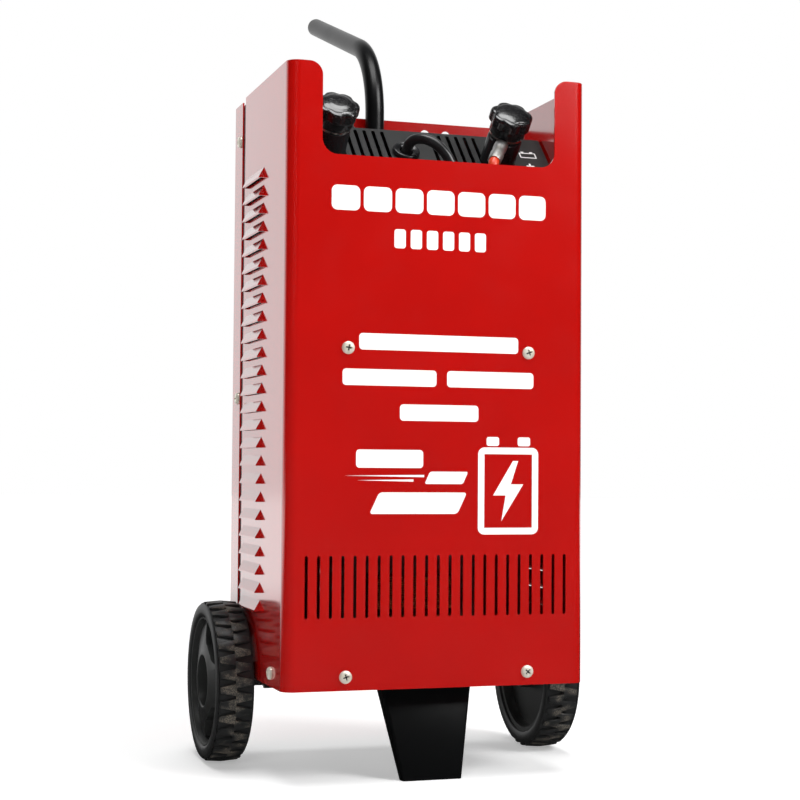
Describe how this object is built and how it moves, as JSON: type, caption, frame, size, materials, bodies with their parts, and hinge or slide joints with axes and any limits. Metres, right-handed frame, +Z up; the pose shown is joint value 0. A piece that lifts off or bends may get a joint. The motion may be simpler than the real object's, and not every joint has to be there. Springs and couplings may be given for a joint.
{
  "type": "car battery charger",
  "caption": "Tall trolley-style battery charger and jump starter in a folded sheet case on two wheels and a front foot, with a bent tube handle, screw terminals and stored clamp leads.",
  "frame": {"origin": "on the ground, under the middle of the object's box (leads and clamps not counted)", "axes": "+X to the right of a user facing the front panel, +Y to the rear (the handle points that way), +Z up"},
  "size_m": [0.357, 0.4438, 0.7884],
  "materials": {
    "red_paint": "gloss powder coat",
    "black_panel": "semi-gloss",
    "black_paint": "satin",
    "galvanised_steel": "dull",
    "bright_steel": "bright",
    "tyre_rubber": "moulded, dusty tread",
    "wheel_plastic": "moulded",
    "knob_plastic": "speckled gloss",
    "control_plastic": "fine texture",
    "dial_white": "printed",
    "pointer_red": "painted",
    "meter_glass": "clear",
    "core_steel": "laminated",
    "winding_copper": "varnished",
    "heatsink_aluminium": "extruded",
    "diode_metal": "plated",
    "lug_tin": "tinned",
    "clamp_steel": "zinc plated",
    "black_cable": "smooth sheath",
    "red_cable": "smooth sheath"
  },
  "bodies": {
    "case": {"front_shell": "red_paint", "rear_cover": "red_paint", "left_upright": "red_paint", "right_upright": "red_paint", "base_tray": "red_paint", "control_panel": "black_panel", "front_foot": "black_paint", "handle_tube": "black_paint", "cable_pocket": "galvanised_steel", "axle_saddles": "galvanised_steel", "axle_caps": "galvanised_steel", "handle_clamps": "galvanised_steel", "transformer_rails": "galvanised_steel", "axle": "bright_steel", "case_screws": "bright_steel", "chassis_screws": "bright_steel", "terminal_studs": "bright_steel", "stud_nuts": "bright_steel", "clamp_pins": "bright_steel", "clamp_springs": "bright_steel", "axle_spacers": "wheel_plastic", "terminal_posts": "knob_plastic", "handle_end_cap": "knob_plastic", "cable_gland": "knob_plastic", "gland_nut": "knob_plastic", "mains_gland": "knob_plastic", "selector_switch": "control_plastic", "ammeter_case": "control_plastic", "power_switch_frame": "control_plastic", "fuse_holder": "control_plastic", "ammeter_dial": "dial_white", "ammeter_window": "meter_glass", "transformer_core": "core_steel", "primary_winding": "winding_copper", "secondary_winding": "winding_copper", "rectifier_heatsink": "heatsink_aluminium", "rectifier_diodes": "diode_metal", "red_lug": "lug_tin", "black_clamp_fixed_arm": "clamp_steel", "red_clamp_fixed_arm": "clamp_steel", "black_lead": "black_cable", "black_coil": "black_cable", "black_tail": "black_cable", "red_lead": "red_cable", "red_coil": "red_cable", "red_tail": "red_cable"},
    "left_wheel": {"left_tyre": "tyre_rubber", "left_wheel_centre": "wheel_plastic"},
    "right_wheel": {"right_tyre": "tyre_rubber", "right_wheel_centre": "wheel_plastic"},
    "left_washer": {"left_pressure_washer": "bright_steel"},
    "left_knob": {"left_knob": "knob_plastic"},
    "right_washer": {"right_pressure_washer": "bright_steel"},
    "right_knob": {"right_knob": "knob_plastic"},
    "selector": {"selector_knob": "knob_plastic"},
    "rocker": {"power_rocker": "control_plastic"},
    "pointer": {"ammeter_needle": "pointer_red"},
    "fuse_cap": {"fuse_cap": "control_plastic"},
    "black_jaw": {"black_clamp_moving_arm": "clamp_steel"},
    "red_jaw": {"red_clamp_moving_arm": "clamp_steel"}
  },
  "joints": [
    {"name": "left_wheel_spin", "type": "hinge", "parent": "case", "child": "left_wheel", "pos_m": [-0.161, -0.05412, 0.075], "axis": [1, 0, 0], "continuous": true},
    {"name": "right_wheel_spin", "type": "hinge", "parent": "case", "child": "right_wheel", "pos_m": [0.161, -0.05412, 0.075], "axis": [1, 0, 0], "continuous": true},
    {"name": "left_washer_lift", "type": "slide", "parent": "case", "child": "left_washer", "axis": [0, -0.7133, 0.7009], "range_m": [0, 0.0045]},
    {"name": "left_knob_turn", "type": "hinge", "parent": "left_washer", "child": "left_knob", "pos_m": [-0.084, -0.16918, 0.59791], "axis": [0, -0.7133, 0.7009], "range_deg": [0, 1085]},
    {"name": "right_washer_lift", "type": "slide", "parent": "case", "child": "right_washer", "axis": [0, -0.7133, 0.7009], "range_m": [0, 0.0045]},
    {"name": "right_knob_turn", "type": "hinge", "parent": "right_washer", "child": "right_knob", "pos_m": [0.084, -0.17132, 0.60002], "axis": [0, -0.7133, 0.7009], "range_deg": [0, 1085]},
    {"name": "selector_turn", "type": "hinge", "parent": "case", "child": "selector", "pos_m": [-0.057, -0.06852, 0.6085], "axis": [0, 0, 1], "range_deg": [-50, 50]},
    {"name": "rocker_tip", "type": "hinge", "parent": "case", "child": "rocker", "pos_m": [-0.108, -0.06852, 0.5975], "axis": [1, 0, 0], "range_deg": [-16, 0]},
    {"name": "pointer_swing", "type": "hinge", "parent": "case", "child": "pointer", "pos_m": [0.044, -0.08052, 0.5955], "axis": [0, 0, 1], "range_deg": [-76, 0], "stiffness_Nm_per_rad": 0.0005, "springref_deg": 5.73},
    {"name": "fuse_cap_turn", "type": "hinge", "parent": "case", "child": "fuse_cap", "pos_m": [0.104, -0.06852, 0.5985], "axis": [0, 0, 1], "range_deg": [-90, 0]},
    {"name": "black_jaw_open", "type": "hinge", "parent": "case", "child": "black_jaw", "pos_m": [0.024, -0.20302, 0.4859], "axis": [0, 1, 0], "range_deg": [0, 22], "stiffness_Nm_per_rad": 0.8, "springref_deg": -17.19},
    {"name": "red_jaw_open", "type": "hinge", "parent": "case", "child": "red_jaw", "pos_m": [-0.024, -0.20302, 0.4209], "axis": [0, 1, 0], "range_deg": [0, 22], "stiffness_Nm_per_rad": 0.8, "springref_deg": -17.19}
  ],
  "couplings": [
    {"joint": "left_knob_turn", "follows": "left_washer_lift", "rad_per_m": 4188.8},
    {"joint": "right_knob_turn", "follows": "right_washer_lift", "rad_per_m": 4188.8}
  ]
}
